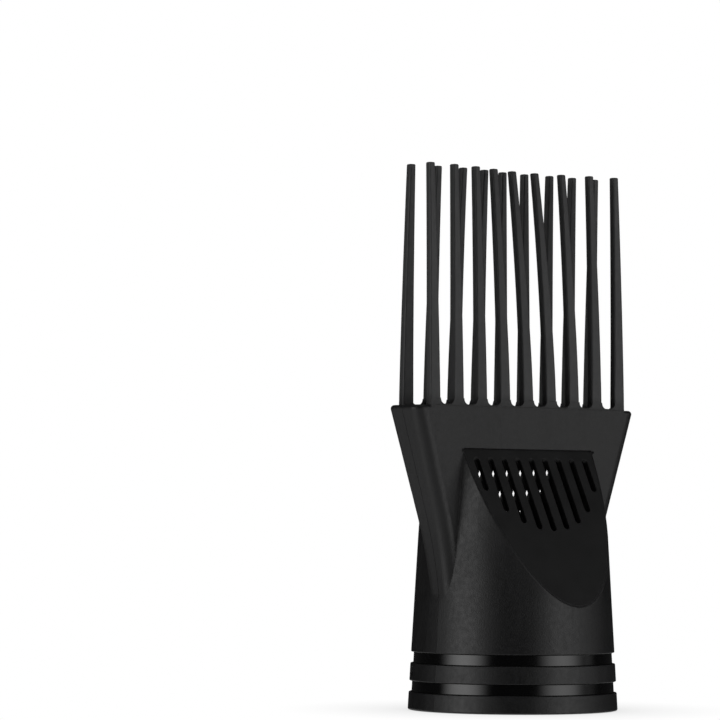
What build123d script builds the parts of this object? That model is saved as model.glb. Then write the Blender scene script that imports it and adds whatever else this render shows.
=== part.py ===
from build123d import *
from math import atan, cos, pi, sin, sqrt
import os

# Comb nozzle for a hair dryer. A round collar pushes over the dryer's barrel, a drafted tube
# narrows into a flat flared duct, and two rows of nine teeth stand on the duct's mouth.
# Two half shells meet at Y = 0 and are held by two snap rings and two lap pins at the collar.
# Frame: origin at the centre of the collar's rim, +Z along the air flow to the tooth tips,
# X along the wide mouth, and the front face looks along -Y. All sizes are in millimetres.

# Tube
RIM_RADIUS = 30.0
DRAFT = 0.057  # radius lost for each millimetre of height
WALL = 2.0
TUBE_TOP_Z = 80.0  # inside the duct
MOUTH_Z = 86.2

# Flared duct
MOUTH_HALF_WIDTH = 42.35
MOUTH_HALF_DEPTH = 7.2
DEPTH_DRAFT = 0.026  # half depth lost for each millimetre below the mouth
FLARE_SLOPE = 0.31  # half width lost for each millimetre below the mouth
FLARE_ARC_TOP_Z = 56.0
FLARE_ARC_RADIUS = 130.0
DUCT_CORNER = 3.4
MOUTH_EDGE_ROUND = 1.0  # beyond the end teeth
SHARP_HALF_SPAN = 36.5  # the mouth's outer edge stays sharp up to here
MOUTH_PINCH = 0.5  # how far the broad walls bow inwards in the middle
PINCH_HALF_SPAN = 43.5

# Vent facets, one on each broad side of the tube
FOLD_Z = 74.1  # top edge of a facet
FOLD_Y = 6.1  # distance of that edge from the middle plane
FOLD_HALF_WIDTH = 25.4
FACET_SLOPE = 0.4985  # distance gained for each millimetre below the fold
VENT_BORDER = 0.6  # shell left between the facet's outline and the grille
VENT_GAP = 0.04
FACET_EDGE_ROUND = 0.4
GRILLE_THICKNESS = 1.4
BEAD_REACH = 0.35
BEAD_THICKNESS = 0.4
BEAD_DEPTH = 0.5  # from the facet to the bead's upper face
BEAD_GAP = 0.05
SLOT_COUNT = 9
SLOT_PITCH = 5.2
SLOT_WIDTH = 2.2
SLOT_TOP = 2.7  # below the fold, along the facet
SLOT_REACH = 25.8  # below the fold, for the middle slot
SLOT_HALF_SPAN = 24.2  # where the curve through the slot ends would reach the fold

# Collar
COLLAR_TOP_Z = 18.0
RIM_EDGE_ROUND = 0.5
RING_SEATS = ((5.1, 8.3), (13.3, 16.5))  # lower and upper, from and to
RING_STEP = 0.8  # how far a ring's face lies below the tube's surface
RING_THICKNESS = 0.6
RING_CLEARANCE = 0.03
RING_EDGE_ROUND = 0.15
RING_END_GAP = 2.0
SEAT_CHAMFER = 0.15

# Grip liner
LINER_OUTER_RADIUS = 26.6
BARREL_RADIUS = 25.2
LINER_FROM_Z = 2.0
LINER_TO_Z = 17.5
FLANGE_RADIUS = 27.6
FLANGE_THICKNESS = 1.5
LIP_RADIUS = 27.0
RIM_MOUTH_RADIUS = 28.2
LINER_CLEARANCE = 0.02
LINER_EDGE_EASE = 0.5
FLUTE_COUNT = 20
FLUTE_WIDTH = 1.2
FLUTE_DEPTH = 0.6
LINER_SLIT = 2.4
LINER_SLIT_ANGLE = 14.0  # from the front towards -X, in degrees

# Lap joint of the half collars, with its pin
LAP_Z = (9.1, 12.7)
LAP_THICKNESS = 1.0
LAP_ROOT_ANGLE = 80.0  # where a strip springs from its own shell, in degrees from the front
LAP_POCKET_ANGLE = 89.0
LAP_END_ANGLE = 126.0
LAP_END_PLAY = 1.0  # in degrees, past a strip's end
LAP_CLEARANCE = 0.08
PIN_ANGLE = 119.0
PIN_HEAD_RADIUS = 1.3
PIN_HEAD_THICKNESS = 0.8
PIN_HEAD_RECESS = 0.25
PIN_SHANK_RADIUS = 0.75
PIN_TIP_RADIUS_FROM_AXIS = 26.75
PIN_CLEARANCE = 0.05
PIN_HEAD_CLEARANCE = 0.15
PIN_HEAD_ROUND = 0.25

# Tongue and groove along the seam
SEAM_Z = (19.5, 84.0)
TONGUE_LAYER = (0.65, 1.35)  # depth below the outer surface, from and to
TONGUE_HEIGHT = 0.8
TONGUE_CLEARANCE = 0.06
SEAM_RELIEF_WIDTH = 0.12
SEAM_RELIEF_DEPTH = 0.35

# Comb teeth
TOOTH_COUNT = 9
TOOTH_PITCH = 8.87
TOOTH_ROOT = (3.9, 2.3)  # width along X, thickness along Y
TOOTH_TIP = (1.9, 2.1)
TOOTH_LENGTH = 68.2
TOOTH_CORNER = 0.45
TOOTH_TIP_ROUND = 0.4
TOOTH_SETBACK = 0.06  # from the wall's face to a tooth's face
TOOTH_BURIED = 1.2  # length inside the duct wall
TOOTH_BEND = 1.5  # power of the height that the lean follows
REST_TIP_Y = -4.2  # where the tip of a straight tooth ends
FRONT_SET = ((5.0, 31.0, 5.6),)  # set in the tips: middle x, half span, shift along Y
REAR_SET = ((18.0, 20.0, 2.1), (-6.0, 15.0, -1.4))  # before the half turn
TOOTH_STATIONS = 5
ROOT_FILLET = 1.7
SILL_RISE = 0.35  # height of the sill that joins the roots
SILL_SETBACK = 0.1
FILLET_OVERLAP = 0.05  # how far a root fillet runs into its tooth

OVERCUT = 1.0  # how far a cut starts outside the surface it goes through
THROUGH_CUT = 6.0  # depth below a facet that passes right through the wall
BIG = 200.0
FACET_ANGLE = atan(FACET_SLOPE)
FLARE_ANGLE = atan(FLARE_SLOPE)


def tube_radius(z):
    return RIM_RADIUS - DRAFT * z


def solid_of_revolution(points):
    """Turns a closed outline of (radius, height) points about Z, from +Y round to +Y."""
    outline = Plane.YZ * make_face(Polyline(*points, close=True))
    return revolve(outline, Axis.Z)


def facet_plane():
    """Plane of the front facet. Its local Y runs up the facet and its local Z points out."""
    return Plane(
        origin=(0, -FOLD_Y, FOLD_Z),
        x_dir=(1, 0, 0),
        z_dir=(0, -cos(FACET_ANGLE), sin(FACET_ANGLE)),
    )


def beyond_facet(inset=0.0):
    """Everything outside the front facet, once the facet has moved in by inset."""
    block = Box(BIG, BIG, BIG, align=(Align.CENTER, Align.CENTER, Align.MIN))
    return facet_plane() * Pos(0, 0, -inset) * block


def turned(shape):
    """The same shape on the other side: half a turn about Z."""
    return Rot(0, 0, 180) * shape


def tube(inset, overrun):
    """Drafted tube with both facets cut, moved in by inset and overrun past the rim."""
    cone = solid_of_revolution(
        [
            (0, -overrun),
            (tube_radius(-overrun) - inset, -overrun),
            (tube_radius(TUBE_TOP_Z) - inset, TUBE_TOP_Z),
            (0, TUBE_TOP_Z),
        ]
    )
    if inset:
        return cone - beyond_facet(inset) - turned(beyond_facet(inset))
    cone = fillet(cone.faces().sort_by(Axis.Z)[0].edges(), RIM_EDGE_ROUND)
    shape = cone - beyond_facet() - turned(beyond_facet())
    return fillet(shape.edges().filter_by(GeomType.ELLIPSE), FACET_EDGE_ROUND)


def pinch(x):
    """How far the broad wall has bowed inwards at x."""
    return MOUTH_PINCH * (1 - (x / PINCH_HALF_SPAN) ** 2)


def pinch_cut(inset=0.0):
    """Large drum that bows the duct's front wall, once the wall has moved in by inset."""
    radius = (PINCH_HALF_SPAN**2 + MOUTH_PINCH**2) / (2 * MOUTH_PINCH) + inset
    lean = atan(DEPTH_DRAFT) * 180 / pi
    wall_middle = Pos(0, -(MOUTH_HALF_DEPTH - inset - MOUTH_PINCH), MOUTH_Z)
    return wall_middle * Rot(lean, 0, 0) * Pos(0, -radius, 0) * Cylinder(radius, 2 * BIG)


def duct(inset, overrun):
    """Flat duct that flares to the mouth, moved in by inset and overrun past the mouth."""
    top_z = MOUTH_Z + overrun
    line_top_x = MOUTH_HALF_WIDTH + FLARE_SLOPE * overrun - inset / cos(FLARE_ANGLE)
    arc_top_x = MOUTH_HALF_WIDTH - FLARE_SLOPE * (MOUTH_Z - FLARE_ARC_TOP_Z)
    centre_x = arc_top_x + FLARE_ARC_RADIUS * cos(FLARE_ANGLE)
    centre_z = FLARE_ARC_TOP_Z - FLARE_ARC_RADIUS * sin(FLARE_ANGLE)
    radius = FLARE_ARC_RADIUS + inset

    def on_arc(angle):
        return centre_x - radius * cos(angle), centre_z + radius * sin(angle)

    bottom = on_arc(0)
    middle = on_arc(FLARE_ANGLE / 2)
    tangent = on_arc(FLARE_ANGLE)
    half_depth_top = MOUTH_HALF_DEPTH + DEPTH_DRAFT * overrun - inset
    half_depth_bottom = MOUTH_HALF_DEPTH - DEPTH_DRAFT * (MOUTH_Z - centre_z) - inset
    side = [
        ThreePointArc(bottom, middle, tangent),
        Line(tangent, (line_top_x, top_z)),
    ]
    other_side = [mirror(edge, Plane.YZ) for edge in side]
    ends = [
        Line((line_top_x, top_z), (-line_top_x, top_z)),
        Line((-bottom[0], bottom[1]), bottom),
    ]
    broad = extrude(Plane.XZ * make_face(side + other_side + ends), BIG / 2, both=True)
    narrow_points = [
        (-half_depth_bottom, centre_z),
        (half_depth_bottom, centre_z),
        (half_depth_top, top_z),
        (-half_depth_top, top_z),
    ]
    narrow_face = Plane.YZ * make_face(Polyline(*narrow_points, close=True))
    narrow = extrude(narrow_face, BIG / 2, both=True)
    bow = pinch_cut(inset)
    shape = (broad & narrow) - bow - turned(bow)
    upright = [e for e in shape.edges() if e.bounding_box().size.Z > 1]
    shape = fillet(upright, DUCT_CORNER - inset)
    if inset:
        return shape
    eased = fillet(shape.faces().sort_by(Axis.Z)[-1].edges(), MOUTH_EDGE_ROUND)
    toothed = slab((-SHARP_HALF_SPAN, -BIG, 0), (SHARP_HALF_SPAN, BIG, BIG))
    return eased + (shape & toothed)


def nozzle_form(inset=0.0):
    """The nozzle's outer form moved in by inset. A cavity overruns both open ends."""
    overrun = OVERCUT if inset else 0.0
    return tube(inset, overrun) + duct(inset, overrun)


def layer(shallow, deep):
    """The part of the wall between two depths below its outer surface."""
    return nozzle_form(shallow) - nozzle_form(deep)


def slab(low, high):
    """A box between two corners."""
    size = [b - a for a, b in zip(low, high)]
    middle = [(a + b) / 2 for a, b in zip(low, high)]
    return Pos(*middle) * Box(*size)


def facet_recess():
    """Cut that drops the facet's top edge below the duct's front wall."""
    below_fold = slab((-FOLD_HALF_WIDTH, -BIG, 0), (FOLD_HALF_WIDTH, 0, FOLD_Z))
    return beyond_facet() & below_fold


def ring_seat(low, high):
    """Groove for one snap ring, with its outer edges eased."""
    floor = RING_STEP + RING_THICKNESS + RING_CLEARANCE
    outside = 2 * OVERCUT
    ease = SEAT_CHAMFER
    points = [
        (tube_radius(low) - floor, low),
        (tube_radius(low) - ease, low),
        (tube_radius(low), low - ease),
        (tube_radius(low) + outside, low - ease),
        (tube_radius(high) + outside, high + ease),
        (tube_radius(high), high + ease),
        (tube_radius(high) - ease, high),
        (tube_radius(high) - floor, high),
    ]
    return solid_of_revolution(points)


def collar_bore():
    """Room inside the collar for the liner, and the eased mouth of the rim."""
    flange_top = LINER_FROM_Z + FLANGE_THICKNESS
    ease = RIM_MOUTH_RADIUS - LIP_RADIUS
    points = [
        (0, -OVERCUT),
        (RIM_MOUTH_RADIUS + OVERCUT, -OVERCUT),
        (RIM_MOUTH_RADIUS, 0),
        (LIP_RADIUS, ease),
        (LIP_RADIUS, LINER_FROM_Z),
        (FLANGE_RADIUS, LINER_FROM_Z),
        (FLANGE_RADIUS, flange_top),
        (LINER_OUTER_RADIUS, flange_top),
        (LINER_OUTER_RADIUS, COLLAR_TOP_Z + OVERCUT),
        (0, COLLAR_TOP_Z + OVERCUT),
    ]
    return solid_of_revolution(points)


def radial_location(angle, z):
    """Place on the axis at height z, with local Z pointing outwards at angle from the front."""
    turn = angle * pi / 180
    return Plane(origin=(0, 0, z), z_dir=(-sin(turn), -cos(turn), 0))


def radial_rod(angle, z, radius, from_axis, to_axis):
    """Round rod along the radius at angle from the front, between two distances from the axis."""
    rod = Cylinder(
        radius, to_axis - from_axis, align=(Align.CENTER, Align.CENTER, Align.MIN)
    )
    return radial_location(angle, z) * Pos(0, 0, from_axis) * rod


def lap_strip(thickness, low, high, from_angle, to_angle):
    """Curved strip against the collar's bore, between two angles from the front towards -X."""
    middle_z = (low + high) / 2
    ring = Pos(0, 0, middle_z) * (
        Cylinder(LINER_OUTER_RADIUS + thickness, high - low)
        - Cylinder(LINER_OUTER_RADIUS, high - low)
    )
    sector = CenterArc((0, 0), BIG, -90 - to_angle, to_angle - from_angle)
    edges = [Line((0, 0), sector @ 0), sector, Line(sector @ 1, (0, 0))]
    return ring & extrude(make_face(edges), COLLAR_TOP_Z)


def pin_hole():
    """Stepped hole for one lap pin, through the outer wall and the lap strip."""
    band_radius = tube_radius(sum(LAP_Z) / 2)
    head_seat = band_radius - PIN_HEAD_RECESS - PIN_HEAD_THICKNESS
    z = sum(LAP_Z) / 2
    wide = PIN_HEAD_RADIUS + PIN_HEAD_CLEARANCE
    narrow = PIN_SHANK_RADIUS + PIN_CLEARANCE
    head_room = radial_rod(PIN_ANGLE, z, wide, head_seat, band_radius + OVERCUT)
    return head_room + radial_rod(
        PIN_ANGLE, z, narrow, LINER_OUTER_RADIUS - OVERCUT, head_seat
    )


def lap_pin():
    """Push-in pin with a flat round head."""
    z = sum(LAP_Z) / 2
    head_top = tube_radius(z) - PIN_HEAD_RECESS
    head_seat = head_top - PIN_HEAD_THICKNESS
    head = Cylinder(
        PIN_HEAD_RADIUS,
        PIN_HEAD_THICKNESS,
        align=(Align.CENTER, Align.CENTER, Align.MIN),
    )
    head = fillet(head.edges().sort_by(Axis.Z)[-1:], PIN_HEAD_ROUND)
    shank_length = head_seat - PIN_TIP_RADIUS_FROM_AXIS
    shank = Cylinder(
        PIN_SHANK_RADIUS, shank_length, align=(Align.CENTER, Align.CENTER, Align.MAX)
    )
    return radial_location(PIN_ANGLE, z) * Pos(0, 0, head_seat) * (head + shank)


def seam_rib(clearance):
    """Strip along the seam at -X that stands behind Y = 0, grown by clearance."""
    shallow, deep = TONGUE_LAYER
    band = layer(shallow - clearance, deep + clearance)
    ends = slab(
        (-BIG, -TONGUE_HEIGHT, SEAM_Z[0] - clearance),
        (0, TONGUE_HEIGHT + clearance, SEAM_Z[1] + clearance),
    )
    return band & ends


def hump(x, centre, half_span):
    """1 at centre, falling smoothly to 0 at half_span away."""
    share = min(1.0, abs(x - centre) / half_span)
    return cos(share * pi / 2) ** 2


def bent_tip_y(x, bends):
    """Where the tip of the tooth at x ends, once its row has taken a set."""
    return REST_TIP_Y + sum(shift * hump(x, centre, span) for centre, span, shift in bends)


def tooth(x, tip_y):
    """One tooth: a tapered bar with rounded corners, square to the wall, that leans to tip_y."""
    root_y = -MOUTH_HALF_DEPTH + pinch(x) + TOOTH_SETBACK + TOOTH_ROOT[1] / 2
    square_to_wall = -atan(2 * MOUTH_PINCH * x / PINCH_HALF_SPAN**2) * 180 / pi
    sections = []
    for k in range(TOOTH_STATIONS):
        share = k / (TOOTH_STATIONS - 1)
        width = TOOTH_ROOT[0] + (TOOTH_TIP[0] - TOOTH_ROOT[0]) * share
        thick = TOOTH_ROOT[1] + (TOOTH_TIP[1] - TOOTH_ROOT[1]) * share
        y = root_y + (tip_y - root_y) * share**TOOTH_BEND
        z = MOUTH_Z + TOOTH_LENGTH * share
        outline = RectangleRounded(width, thick, TOOTH_CORNER)
        sections.append(Pos(x, y, z) * Rot(0, 0, square_to_wall) * outline)
    bar = loft(sections)
    bar = fillet(bar.faces().sort_by(Axis.Z)[-1].edges(), TOOTH_TIP_ROUND)
    return bar + extrude(sections[0], -TOOTH_BURIED)


def tooth_x(k):
    return (k - (TOOTH_COUNT - 1) / 2) * TOOTH_PITCH


def comb_sill():
    """Low sill that joins the roots, with a round-bottomed gap between each two teeth."""
    top = MOUTH_Z + SILL_RISE + ROOT_FILLET
    back = -MOUTH_HALF_DEPTH + MOUTH_PINCH + TOOTH_ROOT[1] / 2
    sill = slab(
        (tooth_x(0), -MOUTH_HALF_DEPTH, MOUTH_Z - TOOTH_BURIED),
        (tooth_x(TOOTH_COUNT - 1), back, top),
    )
    gap_width = TOOTH_PITCH - TOOTH_ROOT[0] + 2 * FILLET_OVERLAP
    outline = RectangleRounded(gap_width, 4 * ROOT_FILLET, ROOT_FILLET)
    for k in range(TOOTH_COUNT - 1):
        middle = Pos(tooth_x(k + 0.5), 0, top + ROOT_FILLET)
        sill -= middle * extrude(Plane.XZ * outline, BIG, both=True)
    return sill - pinch_cut(SILL_SETBACK)


def comb_row(bends):
    """Nine teeth on their sill, along the front wall of the mouth."""
    places = [tooth_x(k) for k in range(TOOTH_COUNT)]
    return comb_sill() + [tooth(x, bent_tip_y(x, bends)) for x in places]


def grille_outline(growth):
    """The grille's outline on the facet: the facet's own ellipse, less its border."""
    low_z = (FOLD_Y + FACET_SLOPE * FOLD_Z - RIM_RADIUS) / (FACET_SLOPE - DRAFT)
    high_z = (FOLD_Y + FACET_SLOPE * FOLD_Z + RIM_RADIUS) / (FACET_SLOPE + DRAFT)
    long_radius = (high_z - low_z) / 2 / cos(FACET_ANGLE)
    short_radius = sqrt(tube_radius(low_z) * tube_radius(high_z))
    middle = ((high_z + low_z) / 2 - FOLD_Z) / cos(FACET_ANGLE)
    change = growth - VENT_BORDER
    ellipse = Pos(0, middle) * Ellipse(short_radius + change, long_radius + change)
    below_fold = Pos(0, growth) * Rectangle(BIG, BIG, align=(Align.CENTER, Align.MAX))
    return ellipse & below_fold


def grille_block(growth, from_depth, to_depth):
    """The outline, grown by growth, as a block between two depths below the facet."""
    face = facet_plane() * Pos(0, 0, -from_depth) * grille_outline(growth)
    return extrude(face, -(to_depth - from_depth))


def vent_slots():
    """Nine slots with round ends. Their lower ends follow one curve."""
    slots = None
    for k in range(SLOT_COUNT):
        x = (k - (SLOT_COUNT - 1) / 2) * SLOT_PITCH
        bottom = SLOT_REACH * sqrt(1 - (x / SLOT_HALF_SPAN) ** 2)
        length = bottom - SLOT_TOP
        outline = Pos(x, -SLOT_TOP - length / 2) * SlotOverall(
            length, SLOT_WIDTH, rotation=90
        )
        slot = extrude(facet_plane() * Pos(0, 0, OVERCUT) * outline, -THROUGH_CUT)
        slots = slot if slots is None else slots + slot
    return slots


def vent_grille(wall):
    """Slotted plate that snaps into the front facet by a bead round its edge."""
    plate = grille_block(0, 0, GRILLE_THICKNESS)
    bead = grille_block(BEAD_REACH, BEAD_DEPTH, BEAD_DEPTH + BEAD_THICKNESS)
    return ((plate + bead) & wall) - vent_slots()


def grille_opening():
    """Opening for the grille, with the groove that takes its bead."""
    top = BEAD_DEPTH - BEAD_GAP
    bottom = BEAD_DEPTH + BEAD_THICKNESS + BEAD_GAP
    through = grille_block(VENT_GAP, -OVERCUT, THROUGH_CUT)
    return through + grille_block(BEAD_REACH + BEAD_GAP, top, bottom)


def full_wall():
    """Wall of the whole nozzle, before the split and before any opening for the grilles."""
    outer = nozzle_form()
    outer = outer - facet_recess() - turned(facet_recess())
    above_collar = slab((-BIG, -BIG, COLLAR_TOP_Z), (BIG, BIG, BIG))
    wall = outer - (nozzle_form(WALL) & above_collar) - collar_bore()
    for low, high in RING_SEATS:
        wall = wall - ring_seat(low, high)
    half_width = SEAM_RELIEF_WIDTH / 2
    relief = slab((-BIG, -half_width, -OVERCUT), (BIG, half_width, BIG))
    return wall - (relief - nozzle_form(SEAM_RELIEF_DEPTH))


def half_shell(wall, bends):
    """Front half shell with its comb row. The rear one is the same moulding, turned."""
    front_half = slab((-BIG, -BIG, -OVERCUT), (BIG, 0, BIG))
    shell = (wall & front_half) - grille_opening()
    lap_low, lap_high = LAP_Z
    strip = lap_strip(LAP_THICKNESS, lap_low, lap_high, LAP_ROOT_ANGLE, LAP_END_ANGLE)
    lap_room = lap_strip(
        LAP_THICKNESS + LAP_CLEARANCE,
        lap_low - LAP_CLEARANCE,
        lap_high + LAP_CLEARANCE,
        LAP_POCKET_ANGLE,
        LAP_END_ANGLE + LAP_END_PLAY,
    )
    shell = shell + strip + seam_rib(0)
    shell = shell - turned(lap_room) - turned(seam_rib(TONGUE_CLEARANCE))
    shell = shell - pin_hole() - turned(pin_hole())
    return shell + comb_row(bends)


def snap_ring(low, high):
    """Split ring in one seat, open at the back."""
    low = low + RING_CLEARANCE
    high = high - RING_CLEARANCE
    face = RING_STEP
    back = RING_STEP + RING_THICKNESS
    ring = solid_of_revolution(
        [
            (tube_radius(low) - back, low),
            (tube_radius(low) - face, low),
            (tube_radius(high) - face, high),
            (tube_radius(high) - back, high),
        ]
    )
    outer_edges = ring.edges().group_by(SortBy.LENGTH)
    ring = fillet(outer_edges[-1] + outer_edges[-2], RING_EDGE_ROUND)
    return ring - slab((-RING_END_GAP / 2, 0, 0), (RING_END_GAP / 2, BIG, BIG))


def grip_liner():
    """Rubber sleeve with a flange, fluted inside and slit once along its length."""
    outer = LINER_OUTER_RADIUS - LINER_CLEARANCE
    flange = FLANGE_RADIUS - LINER_CLEARANCE
    low = LINER_FROM_Z + LINER_CLEARANCE
    flange_top = LINER_FROM_Z + FLANGE_THICKNESS - LINER_CLEARANCE
    ease = LINER_EDGE_EASE
    sleeve = solid_of_revolution(
        [
            (BARREL_RADIUS + ease, low),
            (flange, low),
            (flange, flange_top),
            (outer, flange_top),
            (outer, LINER_TO_Z),
            (BARREL_RADIUS, LINER_TO_Z),
            (BARREL_RADIUS, low + ease),
        ]
    )
    flute = Pos(BARREL_RADIUS, 0, 0) * Box(
        2 * FLUTE_DEPTH, FLUTE_WIDTH, BIG, align=Align.CENTER
    )
    for k in range(FLUTE_COUNT):
        sleeve -= Rot(0, 0, (k + 0.5) * 360 / FLUTE_COUNT) * flute
    slit = slab((-LINER_SLIT / 2, -BIG, 0), (LINER_SLIT / 2, 0, BIG))
    return sleeve - Rot(0, 0, -LINER_SLIT_ANGLE) * slit


def main():
    os.makedirs("parts", exist_ok=True)
    wall = full_wall()
    front_grille = vent_grille(wall)
    pin = lap_pin()
    pieces = {
        "front_shell": half_shell(wall, FRONT_SET),
        "rear_shell": turned(half_shell(wall, REAR_SET)),
        "front_vent_grille": front_grille,
        "rear_vent_grille": turned(front_grille),
        "lower_snap_ring": snap_ring(*RING_SEATS[0]),
        "upper_snap_ring": snap_ring(*RING_SEATS[1]),
        "grip_liner": grip_liner(),
        "lap_pins": Compound([pin, turned(pin)]),
    }
    for name, shape in pieces.items():
        export_step(shape, f"parts/{name}.step")


main()
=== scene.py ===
import math

import bpy
from mathutils import Matrix, Vector


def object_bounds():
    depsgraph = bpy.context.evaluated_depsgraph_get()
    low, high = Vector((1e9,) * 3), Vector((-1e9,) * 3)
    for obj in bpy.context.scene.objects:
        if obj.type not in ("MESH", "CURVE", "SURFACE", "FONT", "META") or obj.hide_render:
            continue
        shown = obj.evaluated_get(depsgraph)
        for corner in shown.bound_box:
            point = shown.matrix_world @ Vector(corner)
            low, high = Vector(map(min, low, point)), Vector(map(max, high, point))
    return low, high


# Looks for a hair dryer's comb nozzle: black moulded plastic parts in a plain white studio.
# The CAD nodes carry all the shape, so this script gives each one its own material and adds
# the floor, the lights and the camera. Lengths are in metres, in the frame of the CAD.

MM = 0.001
MIX_COLOUR_INPUTS = (0, 6, 7)  # share and both colours, among a Mix node's sockets
MIX_COLOUR_OUTPUT = 2

# Camera
CAMERA_TARGET = Vector((-33.9, 28.2, 99.8)) * MM
CAMERA_DISTANCE = 1067.3 * MM
CAMERA_AZIMUTH = math.radians(39.74)  # from the front towards -X
CAMERA_ELEVATION = math.radians(-2.5)
CAMERA_ROLL = math.radians(0.29)
CAMERA_LENS = 185.9  # millimetres, on a sensor 36 mm wide

# Lights: azimuths are from the camera's own side, positive towards its right
SOFTBOX_DISTANCE = 1.3
LEFT_RADIANCE = 3.0
RIGHT_RADIANCE = 2.2
HIGH_RADIANCE = 2.0
BELL_POWER = 1.5  # how fast a softbox fades towards its rim
DARK_BAND = 0.02  # what glossy faces see near the horizon
FLOOR_GLOW = 0.70  # what they see below it
TOP_GLOW = 0.5  # and overhead
FLOOR_RAMP = (-0.15, -0.45)  # sines of the elevations where each glow starts and is full
TOP_RAMP = (0.75, 0.95)

FLOOR_RADIUS = 9.0
FLOOR_SIDES = 96
FLOOR_GAP = 0.05 * MM  # between the rim and the floor
CONTACT_SHADE_REACH = 40.0 * MM
FLOOR_COLOUR = (0.86, 0.86, 0.87, 1)

BLACK_SHELL = (0.0050, 0.0050, 0.0053, 1)
GREYED_SHELL = (0.0095, 0.0095, 0.0100, 1)
WORN_SHELL = (0.030, 0.030, 0.031, 1)
RUBBED_TEETH = (0.040, 0.040, 0.041, 1)
MOUTH_HEIGHT = 86.2 * MM
RUBBED_FROM = 4.0 * MM  # above the mouth, where the teeth start to be rubbed grey
BLACK_GRILLE = (0.0055, 0.0055, 0.0058, 1)
GREYED_GRILLE = (0.008, 0.008, 0.0083, 1)
BLACK_RING = (0.0024, 0.0024, 0.0026, 1)
WORN_RING = (0.010, 0.010, 0.0105, 1)
BLACK_PIN = (0.0045, 0.0045, 0.0048, 1)
GREY_RUBBER = (0.020, 0.020, 0.021, 1)
BLOOMED_RUBBER = (0.030, 0.030, 0.031, 1)
WORN_RUBBER = (0.045, 0.045, 0.046, 1)


def node(tree, kind, inputs=None, **settings):
    """Adds a node. An input takes a plain value or another node's output socket."""
    made = tree.nodes.new("ShaderNode" + kind)
    for name, value in settings.items():
        setattr(made, name, value)
    for name, value in (inputs or {}).items():
        feed(tree, made.inputs[name], value)
    return made


def feed(tree, socket, value):
    """Joins another node's output to a socket, or sets a plain value on it."""
    if isinstance(value, bpy.types.NodeSocket):
        tree.links.new(value, socket)
    else:
        socket.default_value = value


def new_material(name):
    material = bpy.data.materials.new(name)
    material.use_nodes = True
    material.node_tree.nodes.clear()
    return material, material.node_tree


def noise(tree, place, scale, detail=3.0):
    inputs = {"Vector": place, "Scale": scale, "Detail": detail}
    return node(tree, "TexNoise", inputs).outputs["Fac"]


def remap(tree, value, low, high, to_low=0.0, to_high=1.0):
    """Maps value from low..high to to_low..to_high, clamped."""
    inputs = {
        "Value": value,
        "From Min": low,
        "From Max": high,
        "To Min": to_low,
        "To Max": to_high,
    }
    return node(tree, "MapRange", inputs).outputs["Result"]


def mix_colour(tree, share, first, second):
    """The first colour at a share of 0 and the second at 1."""
    made = node(tree, "Mix", data_type="RGBA")
    for index, value in zip(MIX_COLOUR_INPUTS, (share, first, second)):
        feed(tree, made.inputs[index], value)
    return made.outputs[MIX_COLOUR_OUTPUT]


def maths(tree, operation, first, second):
    return node(tree, "Math", {0: first, 1: second}, operation=operation).outputs[0]


def stretched(tree, place, factors):
    """Coordinates scaled per axis, so that a pattern is drawn out along one of them."""
    return node(tree, "Mapping", {"Vector": place, "Scale": factors}).outputs["Vector"]


def eased_edges(tree, radius):
    """Normal with the sharp edges rounded off, and a mask that is 1 on those edges."""
    eased = node(tree, "Bevel", {"Radius": radius}, samples=4).outputs["Normal"]
    true_normal = node(tree, "NewGeometry").outputs["Normal"]
    agreement = node(tree, "VectorMath", {0: eased, 1: true_normal}, operation="DOT_PRODUCT")
    return eased, remap(tree, agreement.outputs["Value"], 0.995, 0.90)


def finish_plastic(tree, colour, roughness, height, eased, specular):
    """Bump, principled shader and output, joined up."""
    distance, signal = height
    bump = node(
        tree, "Bump", {"Height": signal, "Distance": distance, "Strength": 1.0, "Normal": eased}
    )
    shader = node(
        tree,
        "BsdfPrincipled",
        {
            "Base Color": colour,
            "Roughness": roughness,
            "Specular IOR Level": specular,
            "Normal": bump.outputs["Normal"],
        },
    )
    output = node(tree, "OutputMaterial")
    tree.links.new(shader.outputs["BSDF"], output.inputs["Surface"])


def shell_material():
    """Black plastic with a fine spark-eroded grain, faint flow marks and rubbed edges."""
    material, tree = new_material("shell_black_plastic")
    place = node(tree, "TexCoord").outputs["Object"]
    grain = noise(tree, place, 2600.0, detail=2.0)
    flow = noise(tree, stretched(tree, place, (1.0, 1.0, 0.35)), 90.0, detail=4.0)
    scuffs = noise(tree, stretched(tree, place, (1.0, 1.0, 0.06)), 900.0, detail=2.0)
    mottle = noise(tree, place, 750.0, detail=4.0)
    eased, edge = eased_edges(tree, 0.25 * MM)
    rubbed = maths(tree, "MULTIPLY", edge, remap(tree, flow, 0.35, 0.7, 0.25, 0.8))
    tone = mix_colour(tree, remap(tree, flow, 0.3, 0.7), BLACK_SHELL, GREYED_SHELL)
    height = node(tree, "SeparateXYZ", {0: place}).outputs["Z"]
    combed = remap(tree, height, MOUTH_HEIGHT, MOUTH_HEIGHT + RUBBED_FROM)
    tone = mix_colour(tree, combed, tone, RUBBED_TEETH)
    colour = mix_colour(tree, rubbed, tone, WORN_SHELL)
    smooth = remap(tree, flow, 0.3, 0.7, 0.38, 0.46)
    mottled = maths(tree, "ADD", smooth, remap(tree, mottle, 0.35, 0.65, -0.02, 0.06))
    scuffed = maths(tree, "ADD", mottled, remap(tree, scuffs, 0.55, 0.8, 0.0, 0.07))
    roughness = maths(tree, "SUBTRACT", scuffed, maths(tree, "MULTIPLY", rubbed, 0.10))
    finish_plastic(tree, colour, roughness, (0.045 * MM, grain), eased, 0.42)
    return material


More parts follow.
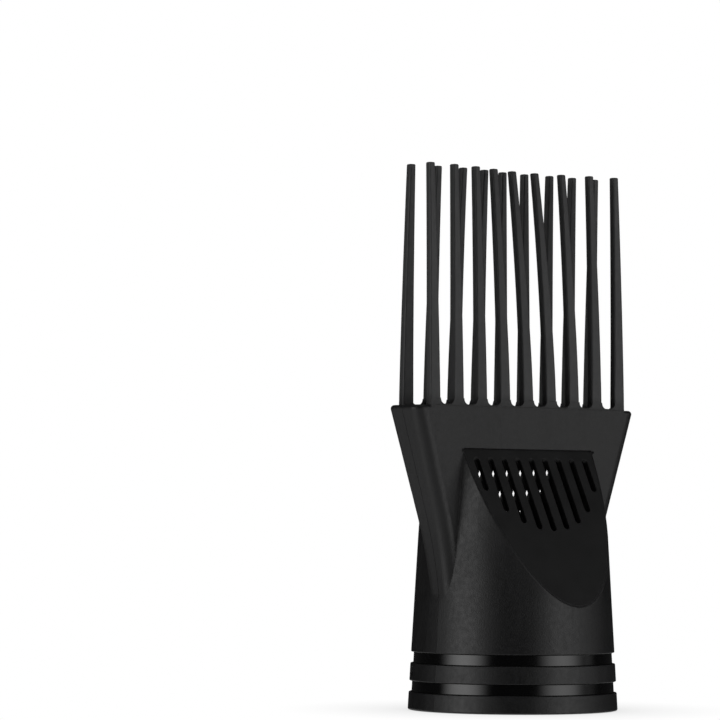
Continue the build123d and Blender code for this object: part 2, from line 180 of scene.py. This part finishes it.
def grille_material():
    """The same plastic with a flatter, duller face and a fine even grain."""
    material, tree = new_material("grille_black_plastic")
    place = node(tree, "TexCoord").outputs["Object"]
    grain = noise(tree, place, 3200.0, detail=2.0)
    mottle = noise(tree, place, 160.0, detail=4.0)
    eased, edge = eased_edges(tree, 0.35 * MM)
    tone = mix_colour(tree, remap(tree, mottle, 0.3, 0.7), BLACK_GRILLE, GREYED_GRILLE)
    colour = mix_colour(tree, maths(tree, "MULTIPLY", edge, 0.5), tone, WORN_SHELL)
    roughness = remap(tree, mottle, 0.3, 0.7, 0.46, 0.54)
    finish_plastic(tree, colour, roughness, (0.010 * MM, grain), eased, 0.40)
    return material


def ring_material():
    """Polished black plastic with hairline polishing marks round the ring."""
    material, tree = new_material("ring_gloss_plastic")
    place = node(tree, "TexCoord").outputs["Object"]
    hairlines = noise(tree, stretched(tree, place, (0.08, 0.08, 1.0)), 5000.0, detail=2.0)
    smears = noise(tree, place, 140.0, detail=3.0)
    eased, edge = eased_edges(tree, 0.15 * MM)
    colour = mix_colour(tree, edge, BLACK_RING, WORN_RING)
    roughness = remap(tree, smears, 0.3, 0.7, 0.13, 0.20)
    finish_plastic(tree, colour, roughness, (0.0015 * MM, hairlines), eased, 0.5)
    return material


def pin_material():
    """Semi-gloss black plastic with a fine grain of marks."""
    material, tree = new_material("pin_black_plastic")
    place = node(tree, "TexCoord").outputs["Object"]
    marks = noise(tree, place, 3800.0, detail=2.0)
    eased, edge = eased_edges(tree, 0.15 * MM)
    colour = mix_colour(tree, edge, BLACK_PIN, WORN_SHELL)
    roughness = remap(tree, marks, 0.3, 0.7, 0.28, 0.36)
    finish_plastic(tree, colour, roughness, (0.006 * MM, marks), eased, 0.5)
    return material


def liner_material():
    """Dark grey rubber, dull, with dust-like mottling and lighter rubbed flute edges."""
    material, tree = new_material("liner_grey_rubber")
    place = node(tree, "TexCoord").outputs["Object"]
    pores = noise(tree, place, 2200.0, detail=3.0)
    bloom = noise(tree, place, 220.0, detail=4.0)
    eased, edge = eased_edges(tree, 0.3 * MM)
    tone = mix_colour(tree, remap(tree, bloom, 0.35, 0.7), GREY_RUBBER, BLOOMED_RUBBER)
    colour = mix_colour(tree, maths(tree, "MULTIPLY", edge, 0.6), tone, WORN_RUBBER)
    roughness = remap(tree, bloom, 0.3, 0.7, 0.62, 0.75)
    finish_plastic(tree, colour, roughness, (0.020 * MM, pores), eased, 0.35)
    return material


def floor_material():
    """White paper that glows for camera rays, with the object's soft contact shadow painted in
    from ambient occlusion.
    """
    material, tree = new_material("studio_floor")
    openness = node(tree, "AmbientOcclusion", {"Distance": CONTACT_SHADE_REACH}, samples=8)
    # Painted shadow: the floor's glow is dimmed where ambient occlusion finds the object close
    # by.
    painted_contact_shadow = remap(tree, openness.outputs["AO"], 0.3, 1.0, 0.7, 1.0)
    glow = node(tree, "Emission", {"Strength": painted_contact_shadow})
    matt = node(tree, "BsdfDiffuse", {"Color": FLOOR_COLOUR})
    seen = node(tree, "LightPath").outputs["Is Camera Ray"]
    surface = node(tree, "MixShader", {0: seen, 1: matt.outputs[0], 2: glow.outputs[0]})
    output = node(tree, "OutputMaterial")
    tree.links.new(surface.outputs["Shader"], output.inputs["Surface"])
    return material


def dress_nodes():
    """Puts each CAD node's material in its slots."""
    shell = shell_material()
    grille = grille_material()
    ring = ring_material()
    finishes = {
        "front_shell": shell,
        "rear_shell": shell,
        "front_vent_grille": grille,
        "rear_vent_grille": grille,
        "lower_snap_ring": ring,
        "upper_snap_ring": ring,
        "grip_liner": liner_material(),
        "lap_pins": pin_material(),
    }
    for name, material in finishes.items():
        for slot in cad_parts[name].material_slots:
            slot.material = material


def direction(azimuth, elevation):
    """Unit vector from the object towards a place in the studio. Azimuth 0 is the camera's
    side and a positive one is to the camera's right."""
    turn = CAMERA_AZIMUTH - azimuth
    flat = math.cos(elevation)
    return Vector((-math.sin(turn) * flat, -math.cos(turn) * flat, math.sin(elevation)))


def add_camera():
    data = bpy.data.cameras.new("camera")
    data.sensor_width = 36.0
    data.lens = CAMERA_LENS
    data.clip_start = 0.05
    data.clip_end = 50.0
    camera = bpy.data.objects.new("camera", data)
    bpy.context.scene.collection.objects.link(camera)
    back = direction(0.0, CAMERA_ELEVATION)
    facing = (-back).to_track_quat("-Z", "Y").to_matrix().to_4x4()
    place = Matrix.Translation(CAMERA_TARGET + back * CAMERA_DISTANCE)
    camera.matrix_world = place @ facing @ Matrix.Rotation(CAMERA_ROLL, 4, "Z")
    bpy.context.scene.camera = camera


def feather(data):
    """Makes a softbox brightest in its middle and dark at its rim."""
    data.use_nodes = True
    tree = data.node_tree
    tree.nodes.clear()
    across = node(tree, "NewGeometry").outputs["Parametric"]
    centred = node(tree, "VectorMath", {0: across, 1: (0.5, 0.5, 0.0)}, operation="SUBTRACT")
    parts = node(tree, "SeparateXYZ", {0: centred.outputs["Vector"]})
    bell = maths(tree, "MULTIPLY", bell_curve(tree, parts, "X"), bell_curve(tree, parts, "Y"))
    glow = node(tree, "Emission", {"Strength": bell})
    output = node(tree, "OutputLight")
    tree.links.new(glow.outputs[0], output.inputs["Surface"])


def bell_curve(tree, parts, axis):
    """1 in the middle of the softbox along one axis, falling smoothly to 0 at both ends."""
    angle = maths(tree, "MULTIPLY", parts.outputs[axis], math.pi)
    return maths(tree, "POWER", maths(tree, "COSINE", angle, 0.0), BELL_POWER)


def add_softbox(name, azimuth, elevation, width, height, radiance):
    data = bpy.data.lights.new(name, "AREA")
    data.shape = "RECTANGLE"
    data.size = width
    data.size_y = height
    data.energy = radiance * math.pi * width * height
    feather(data)
    light = bpy.data.objects.new(name, data)
    bpy.context.scene.collection.objects.link(light)
    outward = direction(math.radians(azimuth), math.radians(elevation))
    light.location = outward * SOFTBOX_DISTANCE
    light.rotation_mode = "QUATERNION"
    light.rotation_quaternion = outward.to_track_quat("Z", "Y")
    light.visible_camera = False


def add_lights():
    add_softbox("key_left", -60.0, 6.0, 1.6, 1.5, LEFT_RADIANCE)
    add_softbox("key_right", 56.0, 6.0, 1.6, 1.5, RIGHT_RADIANCE)
    add_softbox("high_right", 93.0, 14.0, 0.7, 0.6, HIGH_RADIANCE)


def add_world():
    """White for the camera. Other rays see a dark room over a lit floor, and a lit ceiling."""
    world = bpy.data.worlds.new("studio")
    world.use_nodes = True
    tree = world.node_tree
    tree.nodes.clear()
    ray = node(tree, "SeparateXYZ", {0: node(tree, "TexCoord").outputs["Generated"]})
    below = remap(tree, ray.outputs["Z"], *FLOOR_RAMP, 0.0, FLOOR_GLOW)
    above = remap(tree, ray.outputs["Z"], *TOP_RAMP, 0.0, TOP_GLOW)
    room = maths(tree, "ADD", maths(tree, "ADD", below, above), DARK_BAND)
    seen = node(tree, "LightPath").outputs["Is Camera Ray"]
    strength = maths(tree, "MAXIMUM", room, seen)
    white = node(tree, "Background", {"Color": (1, 1, 1, 1), "Strength": strength})
    output = node(tree, "OutputWorld")
    tree.links.new(white.outputs["Background"], output.inputs["Surface"])
    bpy.context.scene.world = world


def add_floor():
    mesh = bpy.data.meshes.new("floor")
    turns = [2 * math.pi * k / FLOOR_SIDES for k in range(FLOOR_SIDES)]
    ring = [(FLOOR_RADIUS * math.cos(turn), FLOOR_RADIUS * math.sin(turn), 0.0) for turn in turns]
    mesh.from_pydata(ring, [], [tuple(range(FLOOR_SIDES))])
    mesh.materials.append(floor_material())
    floor = bpy.data.objects.new("floor", mesh)
    floor.location.z = cad_box[0].z - FLOOR_GAP
    floor.visible_glossy = False
    bpy.context.scene.collection.objects.link(floor)


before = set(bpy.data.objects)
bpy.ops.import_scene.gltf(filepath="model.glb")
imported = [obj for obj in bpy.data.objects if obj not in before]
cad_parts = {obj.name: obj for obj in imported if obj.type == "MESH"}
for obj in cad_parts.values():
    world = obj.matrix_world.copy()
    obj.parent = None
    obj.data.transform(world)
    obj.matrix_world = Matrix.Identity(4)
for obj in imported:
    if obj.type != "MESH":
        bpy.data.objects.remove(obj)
cad_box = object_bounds()

dress_nodes()
add_floor()
add_lights()
add_world()
add_camera()
bpy.context.scene.view_settings.view_transform = "Standard"
